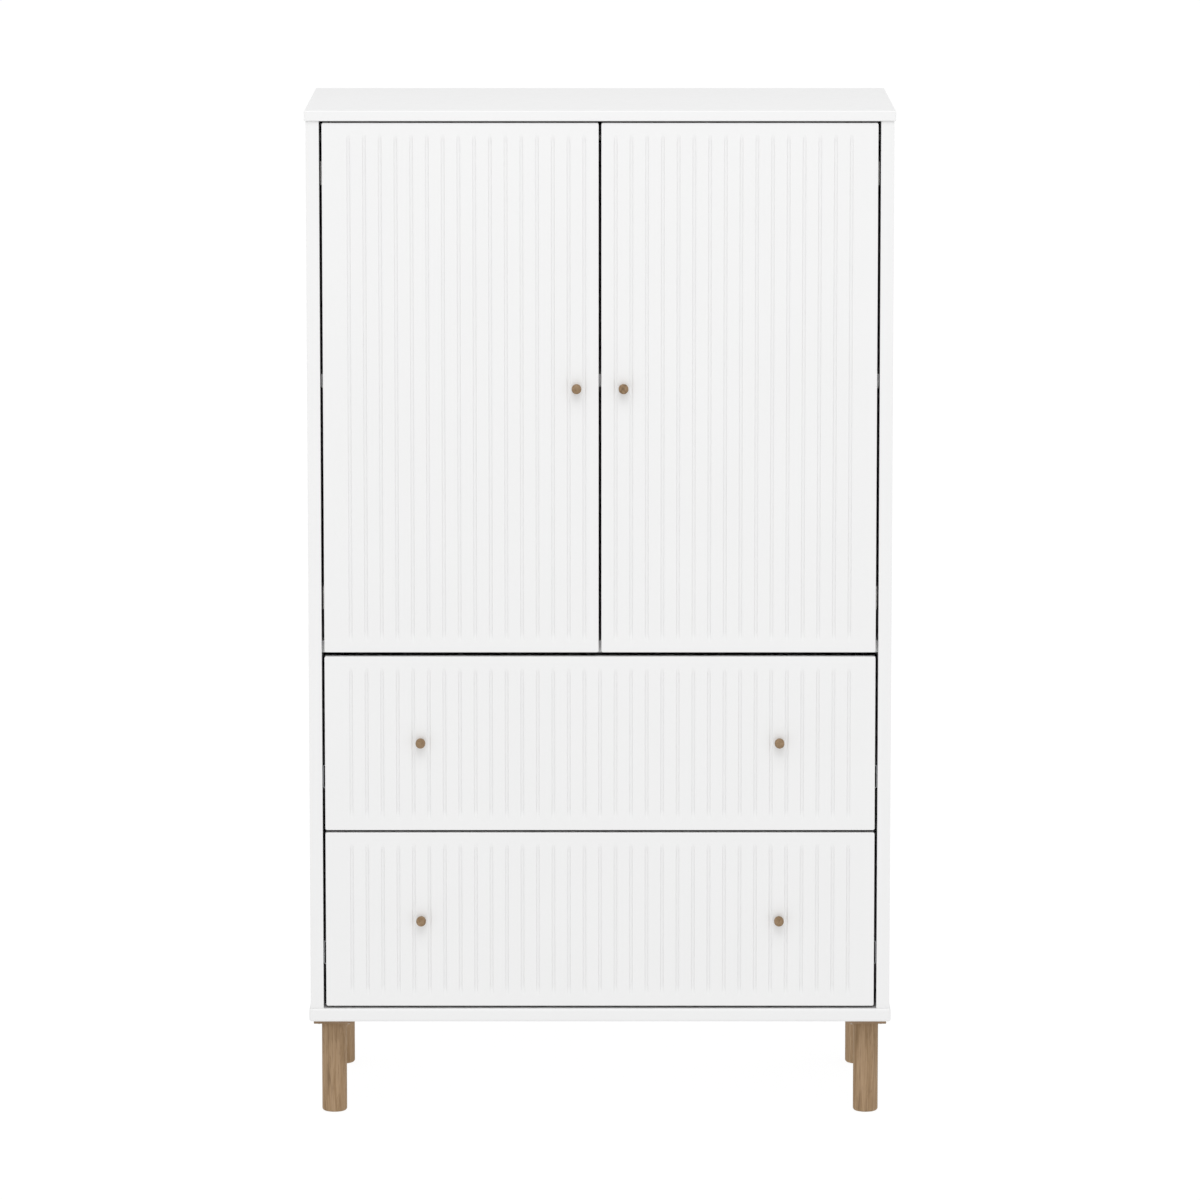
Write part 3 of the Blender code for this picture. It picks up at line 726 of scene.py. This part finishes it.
def hinge_arm(level, side, sign, axis):
    """The cranked arm with its fork and pin, over a mounting plate. Returns the screws' places."""
    node = f"hinge_arm_{level}_{side}"
    low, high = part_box(node)
    link_low, link_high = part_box(f"hinge_link_{level}_{side}")
    z = (link_low.z + link_high.z) / 2
    wall = abs(low.x if sign < 0 else high.x) - abs(axis[0])
    near, far = (wall - gap for gap in ARM_WALL)
    front, rear = ARM_BACK
    points = [(near, front), (near, rear - 0.002), (near - 0.002, rear), (far + 0.003, rear)]
    points += [(far, rear - 0.004), (far, front + 0.009)]
    points += arc((0, 0), NOSE_RADIUS, 110, 240, 16)
    points += [(0.010, 0.0004), (far + 0.002, front - 0.0065)]
    outline = [(sign * u, v) for u, v in points]

    def place(u, v, w):
        return (axis[0] + u, axis[1] + v, w)

    shape = bmesh.new()
    add_extruded(shape, outline, place, z - ARM_HALF, z + ARM_HALF)
    soften(shape, 0.0005, 2, 25)
    slot_half = (link_high.z - link_low.z) / 2 + 0.0003
    ends = [(ARM_SLOT, z - slot_half), (ARM_SLOT, z + slot_half)]
    slot = turned_shape(ends, (*axis[:2], 0), (0, 0, 1), CUP_SIDES)
    make_piece(node + "_crank", shape, "carcass", NICKEL, [node], [slot])
    ends = [(ARM_PIN, z - ARM_HALF + 0.0002), (ARM_PIN, z + ARM_HALF - 0.0002)]
    pin = turned_shape(ends, (*axis[:2], 0), (0, 0, 1), SMALL_SIDES)
    make_piece(node + "_pin", pin, "carcass", NICKEL)
    wall_x = axis[0] + sign * wall
    inner_x = wall_x - sign * MOUNT_THICK
    xs = sorted((wall_x - sign * 0.0001, inner_x))
    plate_y = axis[1] + MOUNT_BACK
    half_y, half_z = MOUNT_HALF
    plate_low = (xs[0], plate_y - half_y, z - half_z)
    plate_high = (xs[1], plate_y + half_y, z + half_z)
    plate = rounded_box(plate_low, plate_high, 0.0008, 2)
    make_piece(node + "_plate", plate, "carcass", NICKEL, flat_faces=True)
    inward = (-sign, 0, 0)
    face_x = axis[0] + sign * far
    places = [((inner_x, plate_y, z + end * MOUNT_SCREWS), inward) for end in (-1, 1)]
    places += [((face_x, axis[1] + back, z), inward) for back in ARM_SCREWS]
    return places


# ------------------------------------------------------------------ main parts


def case():
    """Top, bottom, sides, divider, shelf and back."""
    panel("top_panel", "carcass", TOP_EDGE, segments=4)
    panel("bottom_panel", "carcass", BOTTOM_EDGE, segments=6)
    panel("divider_panel", "carcass", PANEL_EDGE, along="X")
    panel("shelf", "carcass", PANEL_EDGE)
    floor_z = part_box("bottom_panel")[1].z
    cover_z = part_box("top_panel")[0].z - CAM_COVER_DOWN
    hole = [(PIN_HOLE_RADIUS, -0.002), (PIN_HOLE_RADIUS, PIN_HOLE_DEPTH)]
    for side, sign in SIDES.items():
        low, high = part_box("side_panel_" + side)
        inner_x = sign * min(abs(low.x), abs(high.x))
        pins = [middle(f"shelf_pin_{place}_{side}") for place in ("front", "back")]
        holes = bmesh.new()
        for pin in pins:
            for row in range(-PIN_ROWS, PIN_ROWS + 1):
                centre = (inner_x, pin.y, pin.z + row * PIN_PITCH)
                add_turned(holes, hole, centre, (sign, 0, 0), SMALL_SIDES)
        foot = (low.x, low.y, floor_z)
        panel("side_panel_" + side, "carcass", PANEL_EDGE, cutters=[holes], along="Z", low=foot)
        places = [((inner_x, pin.y, cover_z), (-sign, 0, 0)) for pin in pins]
        discs("cam_caps_" + side, CAM_COVER, places, "carcass")
    back_panel()


def back_panel():
    """A thin board folded down the middle, held by a row of screws round its edge."""
    low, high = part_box("back_panel")
    groove = bmesh.new()
    outline = [(-FOLD_HALF, 0.001), (FOLD_HALF, 0.001), (0, -FOLD_DEPTH)]

    def place(u, v, w):
        return (u, high.y + v, w)

    add_extruded(groove, outline, place, low.z - 0.01, high.z + 0.01)
    shape = rounded_box(low, high, 0.0005, 2)
    name, body = "back_panel", "carcass"
    make_piece(name + "_board", shape, body, LINER, [name], [groove], flat_faces=True)
    left, right = low.x + BACK_SCREW_IN, high.x - BACK_SCREW_IN
    bottom, top = low.z + BACK_SCREW_IN, high.z - BACK_SCREW_IN
    across = round((right - left) / BACK_SCREW_PITCH)
    up = round((top - bottom) / BACK_SCREW_PITCH)
    spots = [(left + (right - left) * i / across, z) for i in range(across + 1) for z in (bottom, top)]
    spots += [(x, bottom + (top - bottom) * i / up) for i in range(1, up) for x in (left, right)]
    places = [((x, high.y, z), (0, 1, 0)) for x, z in spots]
    screws(name + "_screws", places, BACK_SCREW, body, ZINC)


def legs():
    """Turned legs with a rounded foot, each under a screwed plate."""
    for place in ("front", "back"):
        for side in SIDES:
            node = f"leg_{place}_{side}"
            low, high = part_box(node)
            centre = middle(node)
            radius = (high.x - low.x) / 2
            profile = [(0.0, low.z), (radius - LEG_ROUND, low.z)]
            profile += arc((radius - LEG_ROUND, low.z + LEG_ROUND), LEG_ROUND, -90, 0, 8)[1:]
            profile += [(radius, high.z - 0.0008), (radius - 0.0008, high.z), (0.0, high.z)]
            shape = turned_shape(profile, (centre.x, centre.y, 0), (0, 0, 1))
            make_piece(node + "_turned", shape, "carcass", LEG_OAK, [node])
            plate = f"leg_plate_{place}_{side}"
            panel(plate, "carcass", PLATE_EDGE, PLATE_OAK)
            low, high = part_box(plate)
            reach = (high.x - low.x) / 2 - LEG_SCREW_IN
            corners = [(centre.x + a * reach, centre.y + b * reach) for a in (-1, 1) for b in (-1, 1)]
            places = [((x, y, low.z), (0, 0, -1)) for x, y in corners]
            screws(plate + "_screws", places, LEG_SCREW, "carcass", ZINC)


def shelf_pin(node, sign):
    """A pin with a round head inside the wardrobe and a shank in its hole."""
    low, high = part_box(node)
    centre = middle(node)
    centre.x = sign * min(abs(low.x), abs(high.x))
    head, shank = (high.z - low.z) / 2, PIN_HOLE_RADIUS - 0.0002
    length, collar = high.x - low.x, PIN_HEAD_LENGTH
    profile = [(0.0, 0.0), (head - PIN_EDGE, 0.0), (head, PIN_EDGE)]
    profile += [(head, collar - 0.0005), (head - 0.0004, collar), (shank, collar)]
    profile += [(shank, length - PIN_EDGE), (shank - PIN_EDGE, length), (0.0, length)]
    shape = turned_shape(profile, centre, (sign, 0, 0), DISC_SIDES)
    make_piece(node + "_turned", shape, "carcass", NICKEL, [node])


def rail_socket(side, sign):
    """A round cup for the rail's end, with a flange held by three screws."""
    node = "rail_socket_" + side
    low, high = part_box(node)
    rail_low, rail_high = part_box("clothes_rail")
    centre = middle(node)
    centre.x = sign * max(abs(low.x), abs(high.x))
    bore = (rail_high.z - rail_low.z) / 2 + 0.0002
    wide, depth = (high.z - low.z) / 2, high.x - low.x
    edge, collar, rim = SOCKET_EDGE, SOCKET_COLLAR, SOCKET_RIM
    profile = [(0.0, 0.0), (wide, 0.0)] + arc((wide - edge, SOCKET_FLANGE - edge), edge, 0, 90, 4)
    profile += arc((collar + edge, SOCKET_FLANGE + edge), edge, -90, -180, 4)
    profile += [(collar, depth - 0.001), (collar - 0.001, depth), (bore + rim, depth), (bore, depth - rim)]
    profile += [(bore, SOCKET_SEAT), (0.0, SOCKET_SEAT)]
    shape = turned_shape(profile, centre, (-sign, 0, 0))
    make_piece(node + "_turned", shape, "carcass", NICKEL, [node])
    reach = (wide + collar) / 2
    places = []
    for turn in (90, 210, 330):
        a = math.radians(turn)
        spot = centre + Vector((-sign * SOCKET_FLANGE, reach * math.cos(a), reach * math.sin(a)))
        places.append((spot, (-sign, 0, 0)))
    screws(node + "_screws", places, SOCKET_SCREW, "carcass")


def clothes_rail():
    """A tube with slightly broken outer edges."""
    node = "clothes_rail"
    low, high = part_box(node)
    radius, length = (high.z - low.z) / 2, high.x - low.x
    inner, edge = radius - RAIL_WALL, RAIL_EDGE
    profile = [(radius - edge, 0.0), (radius, edge), (radius, length - edge), (radius - edge, length)]
    profile += [(inner, length), (inner, 0.0)]
    centre = middle(node)
    centre.x = low.x
    shape = turned_shape(profile, centre, (1, 0, 0), ring=True)
    make_piece(node + "_tube", shape, "carcass", NICKEL, [node])


def interior():
    """Shelf pins, and the clothes rail in its sockets."""
    for side, sign in SIDES.items():
        for place in ("front", "back"):
            shelf_pin(f"shelf_pin_{place}_{side}", sign)
        rail_socket(side, sign)
    clothes_rail()


def doors():
    """Grooved doors with their knobs, hinges and bumpers."""
    axes = {j["name"]: j["pos_m"] for j in frame["joints"] if "pos_m" in j}
    for side, sign in SIDES.items():
        node = "door_" + side
        low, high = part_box(node)
        cups = [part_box(f"hinge_cup_{level}_{side}") for level in LEVELS]
        bores = []
        for cup_low, cup_high in cups:
            centre = ((cup_low.x + cup_high.x) / 2, high.y, (cup_low.z + cup_high.z) / 2)
            radius, depth = (cup_high.x - cup_low.x) / 2, high.y - cup_low.y
            bores.append(cup_bore(centre, radius + 0.0002, depth + 0.0002))
        make_piece(node + "_leaf", grooved_shape(low, high), node, LACQUER, [node], bores)
        knob(node + "_knob", node)
        screws(node + "_knob_screw", [knob_screw(node + "_knob", high.y)], KNOB_SCREW, node)
        axis = axes[f"hinge_links_{side}_turn"]
        cup_screws, arm_screws = [], []
        for level in LEVELS:
            cup_screws += hinge_cup(level, side, sign, node, high.y)
            hinge_link(level, side, sign, axis)
            arm_screws += hinge_arm(level, side, sign, axis)
        screws(f"hinge_cup_screws_{side}", cup_screws, HINGE_SCREW, node)
        screws(f"hinge_arm_screws_{side}", arm_screws, HINGE_SCREW, "carcass")
        in_x, in_z = BUMPER_IN
        bumper_x = (low.x if sign > 0 else high.x) + sign * in_x
        places = [((bumper_x, high.y, z), (0, 1, 0)) for z in (low.z + in_z, high.z - in_z)]
        discs(f"door_bumpers_{side}", BUMPER, places, node, SMALL_SIDES)


def channel_outline(web, lip, half_height):
    """A bent-sheet U section in (distance from the web's side, height), with rounded bends."""
    way = 1 if lip > web else -1
    outer, inner = SHEET_BEND, SHEET_BEND - SHEET
    across = abs(lip - web)
    half = [(across, -half_height)]
    half += arc((outer, -half_height + outer), outer, 270, 180, 5)
    outside = half + [(u, -v) for u, v in reversed(half)]
    inside = [(across, half_height - SHEET)]
    inside += arc((SHEET + inner, half_height - SHEET - inner), inner, 90, 180, 4)
    inside += [(u, -v) for u, v in reversed(inside)]
    return [(web + way * u, v) for u, v in outside + inside]


def runner(node, body, wall_x, sign, web_far):
    """A runner's channel, drawn as seen along Y. web_far says that its web is on the drawer's side."""
    low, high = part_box(node)
    depths = sorted(abs(wall_x) - abs(x) for x in (low.x, high.x))
    web, lip = (depths[1], depths[0]) if web_far else depths
    half = (high.z - low.z) / 2
    z = (high.z + low.z) / 2

    def place(u, v, w):
        return (wall_x - sign * u, w, z + v)

    shape = bmesh.new()
    add_extruded(shape, channel_outline(web, lip, half), place, low.y, high.y)
    soften(shape, 0.0002, 1, 60)
    make_piece(node + "_rail", shape, body, ZINC, [node])
    return low.y, z, web


def ball_cages(level, side, sign, wall_x):
    """Two rows of balls in thin retainers, between the flanges of the two channels."""
    node = f"cabinet_runner_{level}_{side}"
    outer_low, outer_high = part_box(node)
    inner_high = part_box(f"drawer_{level}_runner_{side}")[1]
    race_z = ((outer_high.z - SHEET) + inner_high.z) / 2
    middle_z = (outer_low.z + outer_high.z) / 2
    start = Vector((wall_x - sign * BALL_PLANE, outer_low.y + CAGE_BACK, 0))
    half = Vector((CAGE_HALF[0], 0, CAGE_HALF[1]))
    retainer, balls = bmesh.new(), bmesh.new()
    for z in (2 * middle_z - race_z, race_z):
        start.z = z
        add_box(retainer, start - half, start + half + Vector((0, BALL_PITCH * BALLS, 0)))
        for i in range(BALLS):
            place = Matrix.Translation(start + Vector((0, BALL_PITCH * (i + 0.5), 0)))
            bmesh.ops.create_icosphere(balls, subdivisions=3, radius=BALL_RADIUS, matrix=place)
    soften(retainer, 0.0003, 1)
    make_piece(node + "_cages", retainer, "carcass", ZINC)
    make_piece(node + "_balls", balls, "carcass", NICKEL)


def runners(level, side, sign):
    """The cabinet's and the drawer's channels on one side, with their balls and screws."""
    wall_x = sign * min(abs(v.x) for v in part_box("side_panel_" + side))
    node = f"cabinet_runner_{level}_{side}"
    front_y, z, web = runner(node, "carcass", wall_x, sign, False)
    face_x = wall_x - sign * (web + SHEET)
    places = [((face_x, front_y + back, z), (-sign, 0, 0)) for back in CABINET_SCREWS]
    screws(node + "_screws", places, RUNNER_SCREW, "carcass", ZINC)
    ball_cages(level, side, sign, wall_x)
    node, body = f"drawer_{level}_runner_{side}", "drawer_" + level
    front_y, z, web = runner(node, body, wall_x, sign, True)
    face_x = wall_x - sign * (web - SHEET)
    places = [((face_x, front_y + back, z), (sign, 0, 0)) for back in DRAWER_SCREWS]
    screws(node + "_screws", places, RUNNER_SCREW, body, ZINC)


def drawers():
    """Grooved drawer fronts with two knobs, and foil-covered boxes on runners."""
    for level in LEVELS:
        body = name = "drawer_" + level
        front = name + "_front"
        low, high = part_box(front)
        make_piece(front + "_face", grooved_shape(low, high), body, LACQUER, [front])
        for side in SIDES:
            knob(f"{name}_knob_{side}", body)
            panel(f"{name}_side_{side}", body, BOX_EDGE, LINER)
        places = [knob_screw(f"{name}_knob_{side}", high.y) for side in SIDES]
        screws(name + "_knob_screws", places, KNOB_SCREW, body)
        panel(name + "_back", body, BOX_EDGE, LINER)
        panel(name + "_bottom", body, SHEET_EDGE, LINER, segments=1)
        places = []
        for side, sign in SIDES.items():
            box_low, box_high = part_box(f"{name}_side_{side}")
            inner_x, y = sign * min(abs(box_low.x), abs(box_high.x)), box_low.y + CAM_COVER_BACK
            places += [((inner_x, y, box_low.z + up), (-sign, 0, 0)) for up in CAM_COVER_UP]
        discs(name + "_cam_caps", CAM_COVER, places, body)
        for side, sign in SIDES.items():
            runners(level, side, sign)


# ----------------------------------------------------------------------- stage


def studio_shape(name, shape, material):
    """A stage object, which isn't part of the wardrobe."""
    obj = bpy.data.objects.new(name, mesh_of(shape, name))
    bpy.context.scene.collection.objects.link(obj)
    obj.data.materials.append(material)
    return obj


def floor_and_backdrop():
    """A wide pale floor inside a white dome that lights nothing itself."""
    material, tree, shader, coords = start_material("studio_floor")
    cloud = noise(tree, coords, 0.8, 2.0)
    colour = ramp(tree, cloud, [(0.3, (0.095, 0.095, 0.095)), (0.7, (0.105, 0.105, 0.105))])
    tree.links.new(colour, shader.inputs["Base Color"])
    shader.inputs["Roughness"].default_value = 0.9
    shader.inputs["Specular IOR Level"].default_value = 0.0
    shader.inputs["Emission Color"].default_value = (1.0, 1.0, 1.0, 1.0)
    shader.inputs["Emission Strength"].default_value = FLOOR_GLOW
    disc = bmesh.new()
    bmesh.ops.create_circle(disc, cap_ends=True, segments=64, radius=STUDIO_RADIUS)
    floor = studio_shape("floor", disc, material)
    floor.location.z = -FLOOR_DROP

    material, tree, shader, coords = start_material("backdrop")
    shader.inputs["Base Color"].default_value = (0.0, 0.0, 0.0, 1.0)
    shader.inputs["Specular IOR Level"].default_value = 0.0
    shader.inputs["Emission Color"].default_value = (1.0, 1.0, 1.0, 1.0)
    shader.inputs["Emission Strength"].default_value = BACKDROP_GLOW
    sphere = bmesh.new()
    bmesh.ops.create_uvsphere(sphere, u_segments=48, v_segments=24, radius=STUDIO_RADIUS + 1.0)
    dome = studio_shape("backdrop", sphere, material)
    dome.visible_diffuse = False
    dome.visible_glossy = False
    dome.visible_transmission = False
    dome.visible_shadow = False


def lights():
    """Even light from all round, and a broad soft light high in front."""
    scene = bpy.context.scene
    scene.view_settings.view_transform = "Standard"
    world = bpy.data.worlds.new("studio")
    scene.world = world
    world.use_nodes = True
    background = world.node_tree.nodes["Background"]
    background.inputs["Color"].default_value = (1.0, 1.0, 1.0, 1.0)
    background.inputs["Strength"].default_value = AMBIENT
    light = bpy.data.lights.new("key", "AREA")
    light.shape = "RECTANGLE"
    light.size, light.size_y = KEY_SIZE
    light.energy = KEY_POWER
    key = bpy.data.objects.new("key", light)
    scene.collection.objects.link(key)
    key.location = KEY_PLACE
    aim = Vector(KEY_AIM) - key.location
    key.rotation_euler = aim.to_track_quat("-Z", "Y").to_euler()


def camera():
    """A long lens far in front and a little above."""
    scene = bpy.context.scene
    eye = bpy.data.objects.new("camera", bpy.data.cameras.new("camera"))
    scene.collection.objects.link(eye)
    eye.location = (0.0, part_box("door_left")[0].y - CAMERA_DISTANCE, CAMERA_HEIGHT)
    eye.rotation_euler = (math.radians(90.0 - CAMERA_DOWN), 0.0, 0.0)
    eye.data.lens = CAMERA_LENS
    eye.data.clip_end = 4 * STUDIO_RADIUS
    scene.camera = eye


case()
legs()
interior()
doors()
drawers()
floor_and_backdrop()
lights()
camera()
